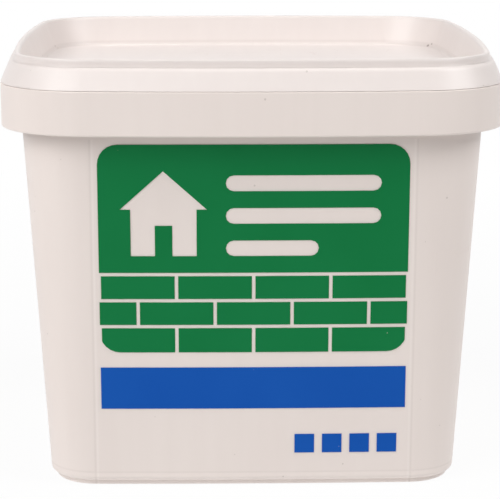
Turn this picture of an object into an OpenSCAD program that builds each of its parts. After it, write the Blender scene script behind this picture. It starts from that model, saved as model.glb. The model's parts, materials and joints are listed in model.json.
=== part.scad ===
// A square one litre tub of wall filler: a thin moulded tub with a hanging collar round its rim,
// a press-on lid with a stacking recess, two layers of ink on the front wall, and the paste inside.
// The base stands on z = 0, the middle of the plan is x = y = 0, and the printed front faces -Y.
// Every wall is one profile carried round a plan of four corner arcs and four bowed sides. The corner
// centres are the same at all heights; the sides of the lid and the collar bow out more than the tub's wall.
// A "reach" is a distance out from the plan.

/* [Plan] */
// Distance of each corner's centre from the middle, along x and along y
corner_centre = 40; // [20:0.5:120]
// Turn of each bowed side of the tub's wall, from its middle to its end, in degrees
wall_bend = 1.45; // [0.5:0.05:6]
// Turn of each bowed side of the collar and the lid, from its middle to its end, in degrees
lid_bend = 4.8; // [0.5:0.05:8]

/* [Tub wall] */
// Thickness of the tub's wall
wall = 1.2; // [0.6:0.1:4]
// Reach of the wall's outer face where its slope meets the ground
wall_low_reach = 12.3; // [4:0.1:40]
// How far the wall leans out from the ground to the top of its slope
wall_flare = 6.12; // [0.5:0.02:30]
// Height of the sloped wall
wall_height = 96; // [40:0.5:300]
// Inside rounding between the wall and the floor
inside_round = 3; // [0.5:0.1:12]

/* [Tub foot] */
// Height of the foot below the wall's rounded heel
foot_height = 1.3; // [0.6:0.1:6]
// How far the foot stands in from the heel's lowest line
foot_inset = 0.1; // [0.05:0.05:2]
// Rounding at the foot's lower edge
foot_round = 0.6; // [0.2:0.1:4]
// Rounding of the wall's heel above the foot
heel_round = 1.4; // [0.5:0.1:8]
// Width of the ring that the tub stands on
foot_ring = 4; // [1:0.1:15]
// Height of the hollow under the floor
floor_lift = 0.8; // [0.3:0.1:4]
// Thickness of the floor
floor_thick = 1.4; // [0.6:0.1:4]
// Radius of the round dimple left by moulding, under the floor and under the lid
gate_radius = 6; // [2:0.5:20]
// Depth of that dimple
gate_depth = 0.4; // [0.1:0.1:1.5]
// Radius of the stub in the middle of that dimple
gate_stub = 1.2; // [0.4:0.1:4]

/* [Tub rim and collar] */
// How far the inside steps out from the wall to the rim, where the lid plugs in
rim_step_out = 1.48; // [0.4:0.02:6]
// Thickness of the rim
rim_wall = 0.9; // [0.5:0.1:4]
// Height of the rim above the collar's top
rim_rise = 3.6; // [2:0.1:20]
// Height of the flange that carries the collar, above that step
flange_rise = 5.7; // [2:0.1:30]
// Height of the collar
collar_height = 11; // [4:0.1:40]
// Thickness of the collar and of the flange that carries it
collar_wall = 1.2; // [0.6:0.1:4]
// Rounding of the collar's upper edge
collar_round = 0.3; // [0.2:0.1:3]
// Rounding of the collar's lower edge
collar_lip = 0.5; // [0.1:0.1:2]
// Thickness of the webs behind the collar
web_wall = 1; // [0.5:0.1:4]
// Height of the webs behind the collar, as a share of the collar's height
web_share = 0.45; // [0.1:0.05:0.8]
// Places of the webs along half a side, from its middle
web_shares = [-0.72, -0.24, 0.24, 0.72];
// Rounding of the snap bead round the rim
rim_bead = 0.5; // [0.2:0.1:2]
// Height of the snap bead above the collar's top, as a share of the rim's rise
rim_bead_share = 0.57; // [0.3:0.01:0.8]

/* [Lid] */
// Thickness of the lid
lid_wall = 1.1; // [0.6:0.1:4]
// Width of the stacking rim at its top
lid_rim_width = 1.3; // [0.6:0.1:6]
// Rounding of the stacking rim's inner edge
lid_rim_inner = 0.6; // [0.1:0.1:3]
// Rounding of the stacking rim's outer edge
lid_rim_outer = 0.3; // [0.1:0.1:3]
// Height of the stacking rim above the ledge round it
lid_rim_rise = 2.05; // [0.5:0.05:8]
// Width of the flat ledge round the stacking rim
ledge_width = 0.3; // [0.1:0.1:4]
// Rounding from the ledge to the skirt
ledge_round = 1.2; // [0.2:0.1:3]
// How far the skirt's lower edge stands out from the stacking rim
skirt_flare = 3.46; // [1:0.02:12]
// How far the lid's skirt stands in from the collar's face
skirt_inset = 0.16; // [0.05:0.01:2]
// Rounding of the skirt's lower edge
skirt_lip = 0.1; // [0.05:0.05:1]
// Depth of the recess in the lid
recess_depth = 8.2; // [3:0.1:30]
// How far the recess narrows from its top to its floor
recess_narrowing = 2.68; // [0.2:0.02:6]
// Rounding between the recess and its floor
recess_round = 1.2; // [0.3:0.1:6]
// Rounding of the snap bead inside the skirt
lid_bead = 0.5; // [0.2:0.1:2]
// Height of that bead above the skirt's lower edge, as a share of the skirt's height
lid_bead_share = 0.23; // [0.15:0.01:0.6]

/* [Fits] */
// Gap between the lid's plug and the rim's inner face
plug_clearance = 0.4; // [0.1:0.05:2]
// Gap between the top of the rim and the lid above it
rim_clearance = 0.65; // [0.1:0.05:2]
// Gap of the parting line between the skirt and the collar
parting_gap = 0.06; // [0.04:0.02:1]
// Gap between the paste and the tub's wall
paste_gap = 0.15; // [0.05:0.05:1]

/* [Paste] */
// Depth of the paste's surface below the top of the sloped wall
paste_head = 7; // [2:0.5:60]

/* [Print] */
// Thickness of the ink
ink = 0.12; // [0.05:0.01:0.5]
// Width of the printed fields
print_width = 77; // [20:0.5:220]
// Height of the green field's lower edge, as a share of the wall's height
green_low_share = 0.375; // [0.1:0.005:0.8]
// Height of the green field's upper edge, as a share of the wall's height
green_high_share = 0.93; // [0.2:0.001:0.97]
// Rounding of the green field's corners
green_round = 5; // [0.5:0.5:30]
// Height of the blue strip's lower edge, as a share of the wall's height
blue_low_share = 0.219; // [0.05:0.001:0.7]
// Height of the blue strip's upper edge, as a share of the wall's height
blue_high_share = 0.333; // [0.1:0.001:0.8]
// Height of the blue tiles' lower edge, as a share of the wall's height
tile_low_share = 0.094; // [0.05:0.001:0.6]
// Side of a blue tile, as a share of the print's width
tile_share = 0.065; // [0.02:0.005:0.15]
// Gap between two blue tiles, as a share of a tile
tile_gap_share = 0.4; // [0.1:0.05:1]
// Number of blue tiles
tile_count = 4; // [1:1:6]
// Height of one printed course of bricks, as a share of the green field's height
course_share = 0.127; // [0.05:0.001:0.3]
// Number of printed courses of bricks
course_count = 3; // [1:1:4]
// Number of printed bricks side by side
brick_count = 4; // [2:2:8]
// Width of the white joints between the printed bricks
joint_width = 0.9; // [0.2:0.1:4]
// Width of the printed house, as a share of the print's width
house_share = 0.28; // [0.1:0.01:0.4]
// Place of the printed house's middle, as a share of the print's width
house_place_share = -0.29; // [-0.4:0.01:0.4]
// Height of the printed house's ground line, as a share of the green field's height
house_low_share = 0.47; // [0.3:0.01:0.7]
// Height of the printed house's eaves, as a share of its width
eaves_share = 0.55; // [0.2:0.01:1]
// Height of the printed house's ridge, as a share of its width
ridge_share = 1; // [0.4:0.01:1.5]
// Width of the printed house's eaves, as a share of its width
gable_share = 0.76; // [0.4:0.01:1]
// Width of the printed house's door, as a share of its width
door_share = 0.2; // [0.1:0.01:0.5]
// Height of the printed house's door, as a share of its width
door_high_share = 0.36; // [0.1:0.01:0.5]
// Left end of the printed bars beside the house, as a share of the print's width
bar_place_share = -0.09; // [-0.4:0.01:0.4]
// Lengths of those bars from the top one down, as shares of the print's width
bar_shares = [0.5, 0.5, 0.3];
// Height of one bar, as a share of the green field's height
bar_high_share = 0.075; // [0.02:0.005:0.2]
// Distance from one bar to the next, as a share of the green field's height
bar_step_share = 0.155; // [0.05:0.005:0.3]

/* [Drawing] */
// Number of steps in a small rounding
round_steps = 6; // [2:1:16]
// Number of steps that a full turn is shown with
$fn = 240; // [48:12:360]

/* [Hidden] */

// Overlap where solids of one node are joined
lap = wall;
// Reach where a wall's section ends and the flat slab inside it takes over
slab_reach = wall_low_reach / 3;

// Heights and reaches of the tub
wall_high_reach = wall_low_reach + wall_flare;
wall_tilt = atan(wall_flare / wall_height);
wall_across = wall / cos(wall_tilt);
heel_high = foot_height + heel_round;
heel_reach = wall_at(heel_high - heel_round * sin(wall_tilt)) - heel_round * cos(wall_tilt);
foot_reach = heel_reach - foot_inset;
floor_top = floor_lift + floor_thick;
inside_high = floor_top + inside_round;
inside_reach = wall_at(inside_high - inside_round * sin(wall_tilt)) - wall_across
    - inside_round * cos(wall_tilt);
step_low = wall_height - wall;
rim_reach = wall_high_reach - wall_across + rim_step_out;
rim_out = rim_reach + rim_wall;
flange_low = wall_height + flange_rise;
collar_top = flange_low + collar_wall;
collar_low = collar_top - collar_height;
web_height = collar_height * web_share;
rim_top = collar_top + rim_rise;
rim_bead_rise = rim_rise * rim_bead_share;
paste_level = wall_height - paste_head;

// Heights and reaches of the lid, worked out from the rim that it fits
ledge_high = rim_top + rim_clearance + lid_wall;
lid_top = ledge_high + lid_rim_rise;
recess_floor = lid_top - recess_depth;
recess_under = recess_floor - lid_wall;
recess_tilt = atan(recess_narrowing / recess_depth);
recess_across = lid_wall / cos(recess_tilt);
recess_high_reach = rim_reach - plug_clearance - recess_across + (lid_top - rim_top) * tan(recess_tilt);
recess_low_reach = recess_high_reach - recess_narrowing;
recess_corner = recess_low_reach + recess_round * tan(recess_tilt) - recess_round / cos(recess_tilt);
lid_rim_corner = recess_high_reach + lid_rim_inner / cos(recess_tilt) - lid_rim_inner * tan(recess_tilt);
lid_rim_reach = recess_high_reach + lid_rim_width;
skirt_low = collar_top + parting_gap;
skirt_reach = lid_rim_reach + skirt_flare;
// Middle of the ledge's rounding, and the skirt's slope, which leaves that rounding without a kink
ledge_middle = [lid_rim_reach + ledge_width, ledge_high - ledge_round];
skirt_out = skirt_reach - ledge_middle[0];
skirt_down = ledge_middle[1] - skirt_low;
skirt_tilt = acos(ledge_round / norm([skirt_out, skirt_down])) - atan2(skirt_down, skirt_out);
lid_bead_rise = (ledge_high - skirt_low) * lid_bead_share;

// The collar's face stands out from the skirt above it
collar_reach = skirt_reach + skirt_inset;

// Heights and sizes of the print
green_low = wall_height * green_low_share;
green_high = wall_height * green_high_share;
green_height = green_high - green_low;
blue_low = wall_height * blue_low_share;
blue_high = wall_height * blue_high_share;
tile_low = wall_height * tile_low_share;
tile = print_width * tile_share;
tile_step = tile * (1 + tile_gap_share);
course = green_height * course_share;
brick = print_width / brick_count;
house = print_width * house_share;
bar_height = green_height * bar_high_share;
bar_step = green_height * bar_step_share;

function wall_at(height) = wall_low_reach + wall_flare * height / wall_height;

function recess_at(height) = recess_low_reach + (height - recess_floor) * tan(recess_tilt);

function skirt_inside(height) = skirt_reach - lid_wall / cos(skirt_tilt)
    - (height - skirt_low) * tan(skirt_tilt);

function side_radius(bend) = corner_centre / sin(bend);

function side_centre(bend) = side_radius(bend) * cos(bend) - corner_centre;

function side_bow(bend) = side_radius(bend) - side_centre(bend) - corner_centre;

// Points of an arc, from one angle to another
function rounding(middle, radius, from, to) = [
    for (step = [0 : round_steps])
        middle + radius * [cos(from + (to - from) * step / round_steps),
                           sin(from + (to - from) * step / round_steps)]
];

// A long move made in three steps, whole units, thousandths and the rest, so that it keeps its last digits
module fine_move(direction, distance) {
    whole = floor(distance);
    fraction = floor((distance - whole) * 1000) / 1000;
    translate(direction * whole)
        translate(direction * fraction)
            translate(direction * (distance - whole - fraction))
                children();
}

// Carries a profile round one corner of the plan with the given bend
module one_corner(bend) {
    translate([corner_centre, -corner_centre, 0])
        rotate_extrude(angle = 90 - 2 * bend, start = bend - 90)
            children();
}

// Carries a profile along the front side of that plan
module one_side(bend) {
    fine_move([0, 1, 0], side_centre(bend))
        rotate_extrude(angle = 2 * bend, start = -90 - bend)
            fine_move([1, 0], side_radius(bend))
                children();
}

// Carries a profile all the way round
module around(bend) {
    for (turn = [0 : 90 : 270])
        rotate([0, 0, turn]) {
            one_corner(bend) children();
            one_side(bend) children();
        }
}

// A solid over the whole plan between two heights, with its own reach at each of them
module slab(bend, low, high, low_reach, high_reach) {
    core = corner_centre - lap;
    inner = -2 * lap - side_bow(bend);
    translate([-core, -core, low])
        cube([2 * core, 2 * core, high - low]);
    for (turn = [0 : 90 : 270])
        rotate([0, 0, turn]) {
            one_corner(bend)
                polygon([[0, low], [low_reach, low], [high_reach, high], [0, high]]);
            one_side(bend)
                polygon([[inner, low], [low_reach, low], [high_reach, high], [inner, high]]);
        }
}

// The moulding dimple with its stub, to be cut from a face that looks down
module gate_dimple(height) {
    translate([0, 0, height - lap])
        difference() {
            cylinder(r = gate_radius, h = lap + gate_depth);
            cylinder(r = gate_stub, h = 2 * lap + gate_depth);
        }
}

// Section of the tub from the floor's edge to the top of the wall: foot, heel and wall
module wall_section() {
    top = wall_height - wall / 2;
    polygon(concat(
        [[slab_reach, floor_lift], [foot_reach - foot_ring, floor_lift]],
        [[foot_reach - foot_ring + floor_lift, 0]],
        rounding([foot_reach - foot_round, foot_round], foot_round, -90, 0),
        [[foot_reach, foot_height]],
        rounding([heel_reach, heel_high], heel_round, -90, -wall_tilt),
        [[wall_at(top), top], [wall_at(top) - wall_across, top]],
        rounding([inside_reach, inside_high], inside_round, -wall_tilt, -90),
        [[slab_reach, floor_top]]
    ));
}

// Section of the tub above the wall: the step out, the flange, the collar, the snap bead and the rim
module rim_section() {
    step_reach = rim_reach - rim_step_out - 2 * wall;
    polygon(concat(
        [[step_reach, step_low], [rim_out, step_low], [rim_out, flange_low]],
        [[collar_reach - collar_wall, flange_low], [collar_reach - collar_wall, collar_low]],
        rounding([collar_reach - collar_lip, collar_low + collar_lip], collar_lip, -90, 0),
        rounding([collar_reach - collar_round, collar_top - collar_round], collar_round, 0, 90),
        [[rim_out, collar_top]],
        rounding([rim_out, collar_top + rim_bead_rise], rim_bead, -90, 90),
        rounding([rim_out - rim_wall / 2, rim_top - rim_wall / 2], rim_wall / 2, 0, 180),
        [[rim_reach, wall_height], [step_reach, wall_height]]
    ));
}

// Section of the lid: recess, stacking rim, ledge and skirt outside, then bead, channel and plug inside
module lid_section() {
    ceiling = ledge_high - lid_wall;
    polygon(concat(
        [[slab_reach, recess_floor]],
        rounding([recess_corner, recess_floor + recess_round], recess_round, -90, -recess_tilt),
        rounding([lid_rim_corner, lid_top - lid_rim_inner], lid_rim_inner, 180 - recess_tilt, 90),
        rounding([lid_rim_reach - lid_rim_outer, lid_top - lid_rim_outer], lid_rim_outer, 90, 0),
        [[lid_rim_reach, ledge_high]],
        rounding(ledge_middle, ledge_round, 90, skirt_tilt),
        rounding([skirt_reach - skirt_lip, skirt_low + skirt_lip], skirt_lip, 0, -90),
        [[skirt_inside(skirt_low), skirt_low]],
        rounding([skirt_inside(skirt_low + lid_bead_rise), skirt_low + lid_bead_rise], lid_bead, -90, -270),
        [[skirt_inside(ceiling), ceiling], [recess_at(ceiling) + recess_across, ceiling]],
        [[recess_at(recess_under + lid_wall / 2) + recess_across, recess_under + lid_wall / 2]],
        [[recess_at(recess_under), recess_under], [slab_reach, recess_under]]
    ));
}

// Thin upright webs that stiffen the collar from behind
module collar_webs() {
    out = side_radius(lid_bend) + rim_out - rim_wall / 2;
    for (turn = [0 : 90 : 270], share = web_shares)
        rotate([0, 0, turn])
            translate([0, side_centre(lid_bend), 0])
                rotate([0, 0, share * lid_bend - 90])
                    translate([out, -web_wall / 2, flange_low - web_height])
                        cube([collar_reach - collar_wall / 2 - rim_out + rim_wall / 2, web_wall,
                              web_height + collar_wall / 2]);
}

// The inside of the tub at its step, out to the middle of the wall
module step_clearing() {
    low = step_low - lap;
    high = wall_height + lap;
    slab(wall_bend, low, high, wall_at(low) - wall_across / 2, wall_at(high) - wall_across / 2);
}

module tub_body() {
    color([0.90, 0.87, 0.85])
        difference() {
            union() {
                around(wall_bend) wall_section();
                difference() {
                    around(lid_bend) rim_section();
                    step_clearing();
                }
                slab(wall_bend, floor_lift, floor_top, slab_reach + lap, slab_reach + lap);
                collar_webs();
            }
            gate_dimple(floor_lift);
        }
}

module lid() {
    color([0.93, 0.90, 0.88])
        difference() {
            union() {
                around(lid_bend) lid_section();
                slab(lid_bend, recess_under, recess_floor, slab_reach + lap, slab_reach + lap);
            }
            gate_dimple(recess_under);
        }
}

// A layer of ink on the front wall, cut to an outline that is drawn in x and z
module ink_layer(low, high) {
    intersection() {
        one_side(wall_bend)
            polygon([[wall_at(low), low], [wall_at(low) + ink, low],
                     [wall_at(high) + ink, high], [wall_at(high), high]]);
        rotate([90, 0, 0])
            linear_extrude(height = 2 * (corner_centre + wall_high_reach))
                children();
    }
}

// A level bar with round ends, from the origin to the right
module round_bar(length, height) {
    polygon(concat(
        rounding([length - height / 2, 0], height / 2, -90, 90),
        rounding([height / 2, 0], height / 2, 90, 270)
    ));
}

// Outline of the green field with rounded corners
module green_field() {
    half = print_width / 2;
    polygon(concat(
        rounding([half - green_round, green_low + green_round], green_round, -90, 0),
        rounding([half - green_round, green_high - green_round], green_round, 0, 90),
        rounding([green_round - half, green_high - green_round], green_round, 90, 180),
        rounding([green_round - half, green_low + green_round], green_round, 180, 270)
    ));
}

// White joints of the printed brick courses
module brick_joints() {
    for (row = [1 : course_count])
        translate([-print_width, green_low + row * course - joint_width / 2])
            square([2 * print_width, joint_width]);
    for (row = [0 : course_count - 1], place = [-brick_count / 2 : brick_count / 2])
        translate([brick * (place + (row % 2) / 2) - joint_width / 2, green_low + row * course])
            square([joint_width, course]);
}

// Outline of the printed house: walls, overhanging roof and an open door
module house_outline() {
    wall_half = house * gable_share / 2;
    door_half = house * door_share / 2;
    eaves = house * eaves_share;
    door_high = house * door_high_share;
    translate([print_width * house_place_share, green_low + green_height * house_low_share])
        polygon([[-wall_half, 0], [-door_half, 0], [-door_half, door_high],
                 [door_half, door_high], [door_half, 0], [wall_half, 0],
                 [wall_half, eaves], [house / 2, eaves], [0, house * ridge_share],
                 [-house / 2, eaves], [-wall_half, eaves]]);
}

// Printed bars beside the house, the top one level with its roof
module bars() {
    for (row = [0 : len(bar_shares) - 1])
        translate([print_width * bar_place_share,
                   green_low + green_height * house_low_share + bar_height / 2
                       + bar_step * (len(bar_shares) - 1 - row)])
            round_bar(print_width * bar_shares[row], bar_height);
}

module print_green() {
    color([0.09, 0.46, 0.26])
        ink_layer(green_low, green_high)
            difference() {
                green_field();
                brick_joints();
                house_outline();
                bars();
            }
}

module print_blue() {
    color([0.12, 0.34, 0.67])
        ink_layer(tile_low, blue_high) {
            translate([-print_width / 2, blue_low])
                square([print_width, blue_high - blue_low]);
            for (place = [1 : tile_count])
                translate([print_width / 2 - place * tile_step, tile_low])
                    square([tile, tile]);
        }
}

// The paste fills the tub's inside up to its level, with a bevel over the floor's rounding
module filler_paste() {
    bevel_reach = inside_reach - paste_gap;
    low_reach = wall_at(inside_high) - wall_across - paste_gap;
    high_reach = wall_at(paste_level) - wall_across - paste_gap;
    color([0.88, 0.87, 0.84]) {
        slab(wall_bend, floor_top, inside_high, bevel_reach, low_reach);
        slab(wall_bend, inside_high, paste_level, low_reach, high_reach);
    }
}

tub_body();
lid();
print_green();
print_blue();
filler_paste();
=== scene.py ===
# %% [markdown]
# # A square tub of wall filler
#
# The real object is two thin mouldings in warm white plastic, ink printed on the front wall, and the
# paste inside. The measured solids already give every wall at its true size, so the mouldings stay as
# they are. This lesson adds what solids can't carry: the camera, the light, the skin of the plastic, the
# grain of the ink and the trowelled top of the paste.

# %% Load the measured model
import json
from math import radians

import bpy
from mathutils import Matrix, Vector


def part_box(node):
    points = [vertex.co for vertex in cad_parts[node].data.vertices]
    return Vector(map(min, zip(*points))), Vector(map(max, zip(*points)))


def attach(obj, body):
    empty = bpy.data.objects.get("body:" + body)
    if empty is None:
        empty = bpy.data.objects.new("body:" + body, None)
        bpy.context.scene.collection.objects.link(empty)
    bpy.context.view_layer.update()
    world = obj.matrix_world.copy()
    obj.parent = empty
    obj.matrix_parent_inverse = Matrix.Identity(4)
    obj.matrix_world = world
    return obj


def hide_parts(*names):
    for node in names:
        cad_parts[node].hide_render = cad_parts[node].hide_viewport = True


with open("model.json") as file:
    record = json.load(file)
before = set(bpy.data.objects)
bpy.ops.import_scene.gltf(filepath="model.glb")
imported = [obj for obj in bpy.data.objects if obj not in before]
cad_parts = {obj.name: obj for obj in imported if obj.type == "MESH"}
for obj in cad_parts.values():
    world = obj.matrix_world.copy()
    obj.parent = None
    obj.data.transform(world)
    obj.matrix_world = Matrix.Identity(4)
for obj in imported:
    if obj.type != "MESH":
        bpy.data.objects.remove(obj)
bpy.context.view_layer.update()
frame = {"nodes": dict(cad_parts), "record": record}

print("nodes:", sorted(frame["nodes"]))

# %% [markdown]
# ## The camera
#
# The photograph looks at the printed front from a little above, through a long lens, so that the sides
# hardly run together. Its rim, collar and foot were fitted as lines in space, which gave the place, the
# tilt and the lens below. A camera could also be aimed with a tracking constraint, but plain angles are
# easier to read and leave nothing behind in the file.

# %% Place the camera
camera_place = (-0.01052, -0.53897, 0.16264)
camera_dip = 11.707
camera_turn = -1.140
camera_lens = 142.92

bpy.ops.object.select_all(action="DESELECT")
bpy.ops.object.camera_add(
    location=camera_place,
    rotation=(radians(90 - camera_dip), 0, radians(camera_turn)),
)
camera = bpy.context.object
camera.name = "front_camera"
camera.data.lens = camera_lens
camera.data.sensor_width = 36
camera.data.clip_start = 0.01
bpy.context.scene.camera = camera
bpy.context.scene.view_settings.view_transform = "Standard"
print("camera stands", round(camera.location.length, 3), "m from the middle of the base")

# %% [markdown]
# ## White surroundings
#
# The photograph's ground is plain white. A bright room would throw too much light back at the tub, so the
# world shows white only to the camera and to mirror-like rays. The Light Path node tells those rays from
# the ones that carry light to a surface.

# %% Make the world
def calculate(tree, operation, first, second=0.0):
    """Adds a Math node on one or two values, each of which is a number or another node's output."""
    node = tree.nodes.new("ShaderNodeMath")
    node.operation = operation
    for socket, value in zip(node.inputs, (first, second)):
        if isinstance(value, (int, float)):
            socket.default_value = value
        else:
            tree.links.new(value, socket)
    return node.outputs["Value"]


def seen_directly(tree):
    """Gives 1 for rays of the camera, of a reflection or through something clear, and 0 for the rest."""
    rays = tree.nodes.new("ShaderNodeLightPath").outputs
    mirrored = calculate(tree, "MAXIMUM", rays["Is Glossy Ray"], rays["Is Transmission Ray"])
    return calculate(tree, "MAXIMUM", rays["Is Camera Ray"], mirrored)


world = bpy.data.worlds.new("white_room")
world.use_nodes = True
bpy.context.scene.world = world
sky = world.node_tree
sky.nodes["Background"].inputs["Color"].default_value = (1, 1, 1, 1)
sky.links.new(seen_directly(sky), sky.nodes["Background"].inputs["Strength"])
print("world:", world.name)

# %% [markdown]
# The floor is white to the same rays. Round the tub it keeps a small part of its real shading, which is
# where the tub's faint shadow comes from, and that part fades out with distance. Close to the tub the
# floor also throws light up at the heel and the foot, as a lit white table does.

# %% Start the floor and its paint
floor_size = 6
floor_grey = (0.86, 0.86, 0.86, 1)


def new_finish(name):
    """Starts a material, and gives it with its nodes, its shader and its object coordinates."""
    material = bpy.data.materials.new(name)
    material.use_nodes = True
    tree = material.node_tree
    place = tree.nodes.new("ShaderNodeTexCoord").outputs["Object"]
    return material, tree, tree.nodes["Principled BSDF"], place


bpy.ops.object.select_all(action="DESELECT")
bpy.ops.mesh.primitive_plane_add(size=floor_size, location=(0, 0, 0))
floor = bpy.context.object
floor.name = "floor"
floor_paint, paint, floor_shader, floor_place = new_finish("floor_paint")
floor_shader.inputs["Base Color"].default_value = floor_grey
floor_shader.inputs["Roughness"].default_value = 0.9
floor_shader.inputs["Specular IOR Level"].default_value = 0
floor.data.materials.append(floor_paint)
print("a floor of", tuple(floor.dimensions)[:2], "m")

# %% [markdown]
# Two ramps on the distance from the tub say how white the floor is: one for the rays that see it, and one
# for the light that it throws up beside the foot. The larger of the two mixes a white glow over the paint.

# %% Turn the floor white
shaded_to = 0.09
white_from = 0.45
white_beside_tub = 0.93
glow_strong_to = 0.08
glow_faint_from = 0.2
glow_strong = 0.85
glow_faint = 0.1


def add_node(tree, kind, name, **inputs):
    """Adds one shader node and sets some of its inputs, where a name's underscores stand for spaces."""
    node = tree.nodes.new(kind)
    node.label = name
    for socket, value in inputs.items():
        node.inputs[socket.replace("_", " ")].default_value = value
    return node


def ramp(tree, value, start, end, low=0.0, high=1.0, course="SMOOTHSTEP"):
    """Runs from a low result where a value is at the start to a high one where it is at the end."""
    limits = {"From_Min": start, "From_Max": end, "To_Min": low, "To_Max": high}
    node = add_node(tree, "ShaderNodeMapRange", "ramp", **limits)
    node.interpolation_type = course
    tree.links.new(value, node.inputs["Value"])
    return node.outputs["Result"]


distance = paint.nodes.new("ShaderNodeVectorMath")
distance.operation = "LENGTH"
paint.links.new(floor_place, distance.inputs[0])
from_tub = distance.outputs["Value"]
whiteness = ramp(paint, from_tub, shaded_to, white_from, low=white_beside_tub)
seen_white = calculate(paint, "MULTIPLY", seen_directly(paint), whiteness)
glow = ramp(paint, from_tub, glow_strong_to, glow_faint_from, glow_strong, glow_faint, "LINEAR")
white = add_node(paint, "ShaderNodeEmission", "white", Strength=1.0)
mix = paint.nodes.new("ShaderNodeMixShader")
paint.links.new(calculate(paint, "MAXIMUM", seen_white, glow), mix.inputs["Fac"])
paint.links.new(floor_shader.outputs["BSDF"], mix.inputs[1])
paint.links.new(white.outputs["Emission"], mix.inputs[2])
paint.links.new(mix.outputs["Shader"], paint.nodes["Material Output"].inputs["Surface"])
print("the floor is white from", white_from, "m and shaded up to", shaded_to, "m")

# %% [markdown]
# ## The lamps
#
# The photograph's light comes mostly from above: the rim, the ledge and the lid's panel are brighter than
# the front, the collar throws a soft, short shadow down the wall, and the left corner is a little brighter
# than the right one. Two broad lamps high on either side make that, with a key lamp in front on the left
# and a lamp above for the lid's panel. Each lamp was first tried alone, and its power was then worked out
# from how much it added to every surface.

# %% Hang the lamps
lamp_aim = Vector((0, 0, 0.06))


def hang_lamp(name, place, size, power):
    """Adds a square area lamp at a place, turned to face the tub."""
    bpy.ops.object.select_all(action="DESELECT")
    bpy.ops.object.light_add(type="AREA", location=place)
    lamp = bpy.context.object
    lamp.name = name
    lamp.data.size = size
    lamp.data.energy = power
    lamp.rotation_euler = (lamp_aim - lamp.location).to_track_quat("-Z", "Y").to_euler()
    print(name, "at", place, "with", power, "W")


hang_lamp("left_lamp", (-0.8, -0.3, 0.9), 0.7, 4.2)
hang_lamp("right_lamp", (0.8, -0.3, 0.9), 0.7, 8.3)
hang_lamp("key_lamp", (-0.62, -0.78, 0.7), 0.7, 6.7)
hang_lamp("top_lamp", (0, 0.1, 1.1), 0.9, 2.9)

# %% [markdown]
# ## Shared surface effects
#
# Moulded plastic is never quite smooth or clean. Each effect is a node group, so that one recipe serves
# the tub, the lid, the ink and the paste with different values. All of them read object coordinates in
# metres, which do not slide when the object moves. The first group is the skin that the mould gives: a
# fine grain, slow waves where the wall sank as it cooled, and upright streaks of the melt's flow.

# %% Grain, waves and streaks
streaks = 260.0
streak_stretch = (1.0, 1.0, 0.04)


def new_group(name, inputs, outputs):
    """Makes an empty shader group with float inputs at given values, a place input, and float outputs."""
    group = bpy.data.node_groups.new(name, "ShaderNodeTree")
    group.interface.new_socket("Place", in_out="INPUT", socket_type="NodeSocketVector")
    for socket, value in inputs.items():
        made = group.interface.new_socket(socket, in_out="INPUT", socket_type="NodeSocketFloat")
        made.default_value = value
    for socket in outputs:
        group.interface.new_socket(socket, in_out="OUTPUT", socket_type="NodeSocketFloat")
    start = group.nodes.new("NodeGroupInput")
    end = group.nodes.new("NodeGroupOutput")
    return group, start.outputs, end.inputs


def noise(tree, place, scale, detail):
    """Adds a noise texture, whose scale is a number or another node's output."""
    node = add_node(tree, "ShaderNodeTexNoise", "noise", Detail=detail)
    tree.links.new(place, node.inputs["Vector"])
    if isinstance(scale, (int, float)):
        node.inputs["Scale"].default_value = scale
    else:
        tree.links.new(scale, node.inputs["Scale"])
    return node.outputs["Fac"]


def mould_skin_group():
    """Fine grain, slow waves of a wall that shrank as it cooled, and upright streaks of the melt's flow."""
    sizes = {"Grains": 2600.0, "Waves": 34.0}
    group, given, result = new_group("mould_skin", sizes, ["Grain", "Wave", "Streak"])
    upright = group.nodes.new("ShaderNodeMapping")
    upright.inputs["Scale"].default_value = streak_stretch
    group.links.new(given["Place"], upright.inputs["Vector"])
    group.links.new(noise(group, given["Place"], given["Grains"], 3.0), result["Grain"])
    group.links.new(noise(group, given["Place"], given["Waves"], 1.0), result["Wave"])
    group.links.new(noise(group, upright.outputs["Vector"], streaks, 2.0), result["Streak"])
    return group


mould_skin = mould_skin_group()
print("group:", mould_skin.name)

# %% [markdown]
# Dust settles in clusters. A Voronoi texture cuts space into cells, and each cell may hold one speck. A
# slow noise decides where many cells hold one and where none does.

# %% Dust
cluster_noise = 45.0
cluster_start = 0.4
cluster_full = 0.6


def times(tree, value, factor):
    """Multiplies another node's output by a number or by a further output."""
    return calculate(tree, "MULTIPLY", value, factor)


def dust_group():
    """Specks in clusters: one to a cell, in a share of the cells that rises where dust gathers."""
    group, given, result = new_group("dust", {"Cells": 160.0, "Size": 0.1, "Share": 0.3}, ["Specks"])
    cells = add_node(group, "ShaderNodeTexVoronoi", "one speck to a cell")
    group.links.new(given["Place"], cells.inputs["Vector"])
    group.links.new(given["Cells"], cells.inputs["Scale"])
    chance = group.nodes.new("ShaderNodeSeparateColor")
    group.links.new(cells.outputs["Color"], chance.inputs["Color"])
    gathered = ramp(group, noise(group, given["Place"], cluster_noise, 1.0), cluster_start, cluster_full)
    share = times(group, gathered, given["Share"])
    chosen = calculate(group, "LESS_THAN", chance.outputs["Red"], share)
    reach = times(group, chance.outputs["Green"], given["Size"])
    speck = calculate(group, "LESS_THAN", cells.outputs["Distance"], reach)
    group.links.new(times(group, chosen, speck), result["Specks"])
    return group


dust = dust_group()
print("group:", dust.name)

# %% [markdown]
# Hands and shelves scuff the plastic. The edges between long, slanted Voronoi cells look like hair-thin
# scratches, and a noise leaves them only in worn patches.

# %% Scuffs
scuff_turn = (0.5, 0.3, 0.9)
scuff_stretch = (1.0, 0.22, 0.5)
wear_noise = 55.0


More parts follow.
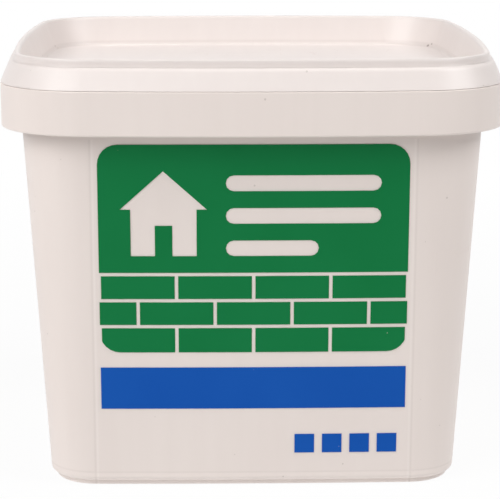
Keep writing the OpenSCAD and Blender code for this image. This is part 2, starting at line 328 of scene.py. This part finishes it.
def scuff_group():
    """Hair-thin scratches: edges of stretched cells, broken up by a slow noise."""
    group, given, result = new_group("scuffs", {"Cells": 90.0, "Width": 0.012, "Share": 0.4}, ["Scratches"])
    stretch = group.nodes.new("ShaderNodeMapping")
    stretch.inputs["Rotation"].default_value = scuff_turn
    stretch.inputs["Scale"].default_value = scuff_stretch
    group.links.new(given["Place"], stretch.inputs["Vector"])
    cells = add_node(group, "ShaderNodeTexVoronoi", "scratches")
    cells.feature = "DISTANCE_TO_EDGE"
    group.links.new(stretch.outputs["Vector"], cells.inputs["Vector"])
    group.links.new(given["Cells"], cells.inputs["Scale"])
    line = calculate(group, "LESS_THAN", cells.outputs["Distance"], given["Width"])
    patch = noise(group, given["Place"], wear_noise, 2.0)
    worn = calculate(group, "LESS_THAN", patch, given["Share"])
    group.links.new(times(group, line, worn), result["Scratches"])
    return group


scuffs = scuff_group()
print("group:", scuffs.name)

# %% [markdown]
# The mould leaves two marks on the tub. Where its flat sides meet its round corners, a faint upright line
# runs down the wall, drawn only as painted shade on one side and a painted highlight on the other. Along
# the wall's lowest edge runs a low roll, which is relief, under a thin line of painted shade where the
# crease above it lies in shadow. Both are found by their place. The corners' centres are the same at every
# height, so one distance from the middle planes gives the upright lines on all four sides.

# %% Mould lines in painted shade and highlight, and the heel
corner_centre = 0.04
wall_top = 0.0905
mould_line_off = 0.0003
mould_line_reach = 0.0005
heel_line_at = 0.0038
heel_line_reach = 0.0004
heel_roll_at = 0.0024


def axes_of(tree, place):
    """Splits a place into its coordinates X, Y and Z."""
    axes = tree.nodes.new("ShaderNodeSeparateXYZ")
    tree.links.new(place, axes.inputs["Vector"])
    return axes.outputs


def off_middle(tree, axes):
    """Gives the distances from the two upright middle planes."""
    return calculate(tree, "ABSOLUTE", axes["X"]), calculate(tree, "ABSOLUTE", axes["Y"])


def mould_line_shading_group():
    """Painted shade and a painted highlight either side of the faint upright lines where the mould's flat
    sides meet its round corners.
    """
    group, given, result = new_group("mould_line_shading", {}, ["Dark", "Light"])
    axes = axes_of(group, given["Place"])
    aside, back = off_middle(group, axes)
    past = calculate(group, "SUBTRACT", calculate(group, "MINIMUM", aside, back), corner_centre)
    wall = calculate(group, "LESS_THAN", axes["Z"], wall_top)
    # Dark is painted shade and Light a painted highlight, one on each side of the line.
    for socket, middle in (("Dark", mould_line_off), ("Light", -mould_line_off)):
        away = calculate(group, "ABSOLUTE", calculate(group, "SUBTRACT", past, middle))
        group.links.new(times(group, ramp(group, away, mould_line_reach, 0.0), wall), result[socket])
    return group


def heel_group():
    """The wall's lowest edge: a low roll that turns up to the light, under a thin line of painted shade for
    the crease above it.
    """
    group, given, result = new_group("heel", {}, ["Roll", "Line"])
    height = axes_of(group, given["Place"])["Z"]
    away = calculate(group, "ABSOLUTE", calculate(group, "SUBTRACT", height, heel_line_at))
    group.links.new(ramp(group, height, heel_line_at, heel_roll_at), result["Roll"])
    # Line is a band of painted shade where the crease above the roll would lie in shadow.
    group.links.new(ramp(group, away, heel_line_reach, 0.0), result["Line"])
    return group


mould_line_shading = mould_line_shading_group()
heel = heel_group()
print("groups:", mould_line_shading.name, "and", heel.name)

# %% [markdown]
# The round corner between the lid's panel and the wall of its recess gets a band of painted shade.
# The record gives the panel's height, as the place where another tub is stacked, and the painted shade
# lies just above it.

# %% Painted shade in the recess's corner
mounts = {mount["name"]: mount for mount in frame["record"]["mounts"]}
panel_height = mounts["lid_recess"]["pos_m"][2]
# Heights above the panel where the painted shade in the corner rises, is full and ends.
shade_full_from = 0.0002
shade_full_to = 0.0008
shade_end = 0.0016
recess_reach = 0.058


def corner_shade_group():
    """A band of painted shade in the round corner at the foot of the lid's recess."""
    group, given, result = new_group("corner_shade", {}, ["Film"])
    axes = axes_of(group, given["Place"])
    aside, back = off_middle(group, axes)
    above = calculate(group, "SUBTRACT", axes["Z"], panel_height)
    rising = ramp(group, above, 0.0, shade_full_from)
    falling = ramp(group, above, shade_end, shade_full_to)
    inside = calculate(group, "LESS_THAN", calculate(group, "MAXIMUM", aside, back), recess_reach)
    group.links.new(times(group, times(group, rising, falling), inside), result["Film"])
    return group


corner_shade = corner_shade_group()
print("group:", corner_shade.name, "above", round(1000 * panel_height, 2), "mm")

# %% [markdown]
# ## The white plastic
#
# Tub and lid are both warm white polypropylene with a satin surface. Each has marks of its own, which go
# over its base colour: the tub the painted shade and highlight of its mould lines and the painted shade and
# roll of its heel, the lid a band of painted shade and the coarse specks of dust that lie in the corner
# round its panel. A mark gives its colour and, where it stands out, its relief.

# %% Painted shade and marks of the tub and of the lid
# The first two covers weigh the tub's painted shade and painted highlight, the third the painted shade in
# the lid's corner.
painted_shade_cover = 0.22
painted_highlight_cover = 0.2
corner_shade_cover = 0.3
dirt_cover = 0.7
heel_relief = 0.00015
dirt_relief = 0.00003


def srgb(red, green, blue):
    """Turns a colour as it is read off a screen, 0 to 255, into the linear values that shaders use."""
    levels = [value / 255 for value in (red, green, blue)]
    return tuple(v / 12.92 if v <= 0.04045 else ((v + 0.055) / 1.055) ** 2.4 for v in levels) + (1,)


def place_group(tree, group, place, **inputs):
    """Places a shared group in a material, on the given coordinates and with its own values."""
    node = add_node(tree, "ShaderNodeGroup", group.name)
    node.node_tree = group
    tree.links.new(place, node.inputs["Place"])
    for socket, value in inputs.items():
        node.inputs[socket].default_value = value
    return node.outputs


def blend_colour(tree, amount, under, over, cover=1.0):
    """Lays one colour over another, each a colour or a node's output, by an amount times a cover."""
    node = tree.nodes.new("ShaderNodeMix")
    node.data_type = "RGBA"
    tree.links.new(times(tree, amount, cover), node.inputs["Factor"])
    for socket, value in ((node.inputs[6], under), (node.inputs[7], over)):
        if isinstance(value, tuple):
            socket.default_value = value
        else:
            tree.links.new(value, socket)
    return node.outputs[2]


def wall_painted_shade_and_roll(tree, place, colour):
    """Draws painted shade and a painted highlight at the tub's mould lines and painted shade above its heel
    over a colour, and gives the heel's relief.
    """
    lines = place_group(tree, mould_line_shading, place)
    foot = place_group(tree, heel, place)
    painted_shade = calculate(tree, "MAXIMUM", lines["Dark"], foot["Line"])
    # Painted shade at the mould lines and above the heel, then a painted highlight beside the mould lines.
    colour = blend_colour(tree, painted_shade, colour, srgb(204, 192, 185), painted_shade_cover)
    colour = blend_colour(tree, lines["Light"], colour, srgb(250, 242, 238), painted_highlight_cover)
    return colour, times(tree, foot["Roll"], heel_relief)


def recess_shade_and_dust(tree, place, colour):
    """Draws painted shade and specks of dust round the lid's panel over a colour, and gives the specks'
    relief.
    """
    corner_shade_mask = place_group(tree, corner_shade, place)["Film"]
    coarse = place_group(tree, dust, place, Cells=520.0, Size=0.4, Share=0.5)["Specks"]
    lying = times(tree, coarse, corner_shade_mask)
    # A band of painted shade in the corner, then the specks of dust that lie in it.
    colour = blend_colour(tree, corner_shade_mask, colour, srgb(196, 186, 180), corner_shade_cover)
    colour = blend_colour(tree, lying, colour, srgb(128, 112, 104), dirt_cover)
    return colour, times(tree, lying, dirt_relief)


# %% [markdown]
# The edges of the lid's rim take the light softly. The solids round them, and a Bevel node spreads the
# light a little further. It works only above the skirt, so that the lower edge keeps its thin parting
# line. The relief of the marks then goes on top, through a Bump node with heights in metres.

# %% Soft edges and relief
def soften_edges(tree, place, radius, start, end):
    """Gives normals that run softly round edges, from a start height to full effect at an end height."""
    rounded = add_node(tree, "ShaderNodeBevel", "soft edges", Radius=radius)
    rounded.samples = 8
    plain = tree.nodes.new("ShaderNodeNewGeometry")
    node = tree.nodes.new("ShaderNodeMix")
    node.data_type = "VECTOR"
    tree.links.new(ramp(tree, axes_of(tree, place)["Z"], start, end), node.inputs["Factor"])
    tree.links.new(plain.outputs["Normal"], node.inputs[4])
    tree.links.new(rounded.outputs["Normal"], node.inputs[5])
    return node.outputs[1]


def raise_bump(tree, heights, shader, normal=None):
    """Adds up heights in metres and bumps the shader's normal, or another one, by them."""
    total = heights[0]
    for height in heights[1:]:
        total = calculate(tree, "ADD", total, height)
    bump = add_node(tree, "ShaderNodeBump", "relief", Strength=1.0, Distance=1.0)
    tree.links.new(total, bump.inputs["Height"])
    if normal is not None:
        tree.links.new(normal, bump.inputs["Normal"])
    tree.links.new(bump.outputs["Normal"], shader.inputs["Normal"])


# %% [markdown]
# One recipe makes both plastics: a base colour that drifts a little with the waves and streaks of the
# wall, the painted shade and marks, specks of dust, faint scuffs that dull the gloss, and the mould's grain
# as relief. The lid is the glossier one.

# %% Mix the plastic
speck_cover = 0.28
wave_dulling = 0.1
scratch_dulling = 0.12
grain_relief = 0.000006
wave_relief = 0.00025
scratch_relief = -0.000004
speck_relief = 0.00002


def white_plastic(name, light, deep, gloss, add_shade_and_marks, edges=None):
    """A satin moulded plastic between two near colours; gloss is its mean roughness."""
    material, tree, shader, place = new_finish(name)
    skin = place_group(tree, mould_skin, place)
    specks = place_group(tree, dust, place, Cells=400.0, Size=0.11, Share=0.24)["Specks"]
    scratches = place_group(tree, scuffs, place)["Scratches"]
    mottle = times(tree, calculate(tree, "ADD", skin["Wave"], skin["Streak"]), 0.5)
    shaded_and_marked, relief = add_shade_and_marks(tree, place, blend_colour(tree, mottle, light, deep))
    dusty = blend_colour(tree, specks, shaded_and_marked, srgb(140, 126, 116), speck_cover)
    tree.links.new(dusty, shader.inputs["Base Color"])
    waved = calculate(tree, "ADD", times(tree, skin["Wave"], wave_dulling), gloss - wave_dulling / 2)
    rough = calculate(tree, "ADD", waved, times(tree, scratches, scratch_dulling))
    tree.links.new(rough, shader.inputs["Roughness"])
    shader.inputs["IOR"].default_value = 1.49
    raise_bump(tree, [
        times(tree, skin["Grain"], grain_relief),
        times(tree, skin["Wave"], wave_relief),
        times(tree, scratches, scratch_relief),
        times(tree, specks, speck_relief),
        relief,
    ], shader, None if edges is None else soften_edges(tree, place, *edges))
    return material


tub_light = srgb(237, 226, 220)
tub_deep = srgb(230, 218, 212)
tub_gloss = 0.42
tub_white = white_plastic("tub_white", tub_light, tub_deep, tub_gloss, wall_painted_shade_and_roll)
print("mixed", tub_white.name)

# %% [markdown]
# The lid gets the same plastic with its own painted shade, dust and soft edges, and then both finishes go
# on. The solids came with plain stand-ins, which are cleared first.

# %% Dress the tub and the lid
lid_light = srgb(232, 223, 219)
lid_deep = srgb(225, 215, 211)
lid_gloss = 0.36
edge_radius = 0.0014
edges_from = 0.1042
edges_full = 0.1055
lid_edges = (edge_radius, edges_from, edges_full)
lid_white = white_plastic("lid_white", lid_light, lid_deep, lid_gloss, recess_shade_and_dust, lid_edges)


def dress(node, material):
    """Gives a measured node its finish in place of the plain one that it came with."""
    node.data.materials.clear()
    node.data.materials.append(material)
    print(node.name, "is now", material.name)


dress(frame["nodes"]["tub_body"], tub_white)
dress(frame["nodes"]["lid"], lid_white)

# %% [markdown]
# ## The printed ink
#
# The green and blue fields are ink laid straight on the plastic. Ink that thin follows the plastic's
# grain, is a little uneven in strength and misses the odd pin-prick where the plastic shines through.
# It could be painted with a texture on the wall, but the fields are solids of their own, so each just
# gets its own ink.

# %% Mix the inks
prick_cover = 0.5
ink_gloss = 0.32
ink_grain_dulling = 0.12
ink_shine = 0.07


def printed_ink(name, full, thin):
    """An ink between its full and its thin colour, with pin-pricks of bare plastic."""
    material, tree, shader, place = new_finish(name)
    skin = place_group(tree, mould_skin, place, Waves=60.0)
    pricks = place_group(tree, dust, place, Cells=420.0, Size=0.07, Share=0.2)["Specks"]
    laid = blend_colour(tree, skin["Wave"], full, thin)
    pricked = blend_colour(tree, pricks, laid, srgb(200, 196, 190), prick_cover)
    tree.links.new(pricked, shader.inputs["Base Color"])
    rough = calculate(tree, "ADD", times(tree, skin["Grain"], ink_grain_dulling), ink_gloss)
    tree.links.new(rough, shader.inputs["Roughness"])
    shader.inputs["Specular IOR Level"].default_value = ink_shine
    raise_bump(tree, [times(tree, skin["Grain"], grain_relief)], shader)
    return material


green_print = printed_ink("green_print", srgb(13, 116, 61), srgb(20, 122, 68))
blue_print = printed_ink("blue_print", srgb(15, 81, 172), srgb(22, 88, 178))
dress(frame["nodes"]["print_green"], green_print)
dress(frame["nodes"]["print_blue"], blue_print)

# %% [markdown]
# ## The paste
#
# Ready-mixed filler is a thick white paste. It clings a little to the wall and keeps the strokes of the
# knife that levelled it. A copy of the measured block has the tub's exact plan, so it is merged into one
# skin, remeshed into even faces, and then pressed into strokes and lumps by Displace modifiers that act
# on its top alone.

# %% Copy the block and remesh it
paste_face = 0.0011
merge_reach = 0.00001

bpy.ops.object.select_all(action="DESELECT")
block = frame["nodes"]["filler_paste"]
block.select_set(True)
bpy.context.view_layer.objects.active = block
bpy.ops.object.duplicate()
paste = bpy.context.object
paste.name = "trowelled_paste"
bpy.ops.object.mode_set(mode="EDIT")
bpy.ops.mesh.select_all(action="SELECT")
bpy.ops.mesh.remove_doubles(threshold=merge_reach)
bpy.ops.object.mode_set(mode="OBJECT")
remesh = paste.modifiers.new("even_faces", "REMESH")
remesh.mode = "VOXEL"
remesh.voxel_size = paste_face
bpy.ops.object.modifier_apply(modifier=remesh.name)
print("paste has", len(paste.data.polygons), "faces")

# %% [markdown]
# The strokes need to know where the top is. A vertex group holds that: full weight on the top, fading to
# nothing where the paste meets the wall, and a second group holds the rim of the paste that climbs the
# wall.

# %% Mark the top
top_depth = 0.0012
strokes_fade = 0.008
climb_width = 0.006

paste_low, paste_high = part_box("filler_paste")
surface = paste.vertex_groups.new(name="surface")
climb = paste.vertex_groups.new(name="climb")
half_width = (paste_high.x - paste_low.x) / 2
for vertex in paste.data.vertices:
    if vertex.co.z < paste_high.z - top_depth:
        continue
    inward = half_width - max(abs(vertex.co.x), abs(vertex.co.y))
    surface.add([vertex.index], min(1.0, max(0.0, inward / strokes_fade)), "REPLACE")
    climb.add([vertex.index], max(0.0, 1 - inward / climb_width) ** 2, "REPLACE")
print("paste is", round(2000 * half_width, 2), "mm wide")
print("its top lies at", round(1000 * paste_high.z, 2), "mm")

# %% [markdown]
# A knife leaves long slanted strokes, each with one sharp side, so their pattern is a saw-toothed band. An
# empty object turns and stretches it, and goes when the strokes are pressed in. Soft lumps and the rim that
# clings to the wall follow.

# %% Press the strokes
stroke_middle = (0.03, -0.02, 0.08)
stroke_turn = 25
stroke_stretch = (0.05, 0.16, 0.16)
stroke_depth = 0.0024
lump_height = 0.0012
cling_height = 0.0016

bpy.ops.object.empty_add(location=stroke_middle, rotation=(0, 0, radians(stroke_turn)))
stroke_guide = bpy.context.object
stroke_guide.scale = stroke_stretch
stroke_pattern = bpy.data.textures.new("strokes", "WOOD")
stroke_pattern.wood_type = "BANDNOISE"
stroke_pattern.noise_basis_2 = "SAW"
stroke_pattern.noise_scale = 0.7
stroke_pattern.turbulence = 4
lump_pattern = bpy.data.textures.new("lumps", "CLOUDS")
lump_pattern.noise_scale = 0.012


def press(name, group, pattern, height, guide=None):
    """Adds a Displace modifier that lifts or sinks one vertex group of the paste, and applies it."""
    bpy.ops.object.select_all(action="DESELECT")
    paste.select_set(True)
    bpy.context.view_layer.objects.active = paste
    displace = paste.modifiers.new(name, "DISPLACE")
    displace.direction = "Z"
    displace.vertex_group = group
    displace.strength = height
    if pattern is None:
        displace.mid_level = 0
    else:
        displace.texture = pattern
        displace.texture_coords = "LOCAL" if guide is None else "OBJECT"
        displace.texture_coords_object = guide
    bpy.ops.object.modifier_apply(modifier=name)


press("knife_strokes", "surface", stroke_pattern, stroke_depth, stroke_guide)
press("soft_lumps", "surface", lump_pattern, lump_height)
press("cling", "climb", None, cling_height)
bpy.data.objects.remove(stroke_guide)
bpy.ops.object.shade_smooth()
highest = max(vertex.co.z for vertex in paste.data.vertices)
print("paste's highest point is at", round(1000 * highest, 2), "mm")

# %% [markdown]
# Filler is chalk and fine marble in water, so it is matt where it has begun to dry and shows a soft sheen
# where the knife drew water to the surface. A fine sand grain and a few burst air bubbles are enough.

# %% Mix the paste
bubble_cover = 0.3
wet_roughness = 0.38
drying_dulling = 0.35
sand_relief = 0.00003
bubble_relief = -0.0002

paste_mix, mixing, paste_shader, paste_place = new_finish("filler_mix")
sand = place_group(mixing, mould_skin, paste_place, Grains=1500.0, Waves=70.0)
bubbles = place_group(mixing, dust, paste_place, Cells=260.0, Size=0.16, Share=0.4)["Specks"]
mixed = blend_colour(mixing, sand["Wave"], srgb(238, 235, 228), srgb(226, 222, 213))
pitted = blend_colour(mixing, bubbles, mixed, srgb(190, 184, 172), bubble_cover)
mixing.links.new(pitted, paste_shader.inputs["Base Color"])
drying = calculate(mixing, "ADD", times(mixing, sand["Wave"], drying_dulling), wet_roughness)
mixing.links.new(drying, paste_shader.inputs["Roughness"])
raise_bump(mixing, [
    times(mixing, sand["Grain"], sand_relief),
    times(mixing, bubbles, bubble_relief),
], paste_shader)
dress(paste, paste_mix)
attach(paste, "tub")
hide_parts("filler_paste")
